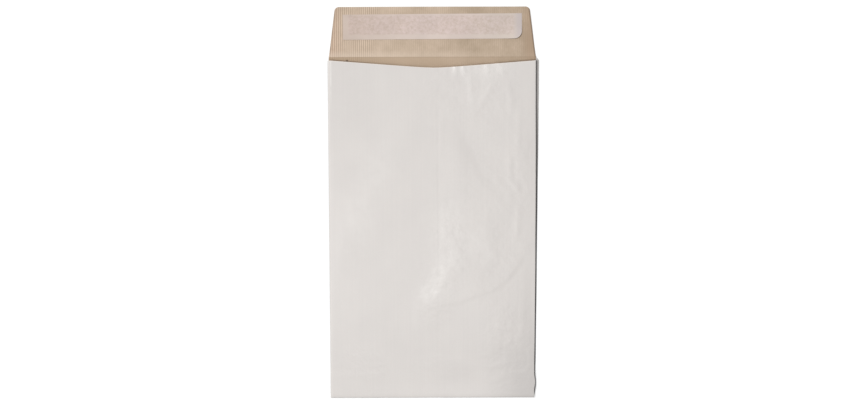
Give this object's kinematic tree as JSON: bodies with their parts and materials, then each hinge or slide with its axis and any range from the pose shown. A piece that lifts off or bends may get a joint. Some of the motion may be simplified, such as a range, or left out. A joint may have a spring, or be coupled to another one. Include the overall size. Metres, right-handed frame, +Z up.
{
  "type": "gusseted mailing bag",
  "caption": "Tear-resistant paper mailing bag with side gussets and a self-seal flap, folded flat and lying open on its back.",
  "frame": {"origin": "under the middle of the whole bag with its flap open, on the surface it rests on", "axes": "+X across the bag, to the right of someone who looks down on the front with the flap away from them; +Y along it towards the flap; +Z up out of the front panel"},
  "size_m": [0.2442, 0.457, 0.0077],
  "materials": {
    "white_laminate": "satin",
    "adhesive": "satin",
    "release_paper": "satin"
  },
  "bodies": {
    "root": {"bag": "white_laminate", "adhesive_strip": "adhesive", "release_liner": "release_paper"}
  },
  "joints": []
}
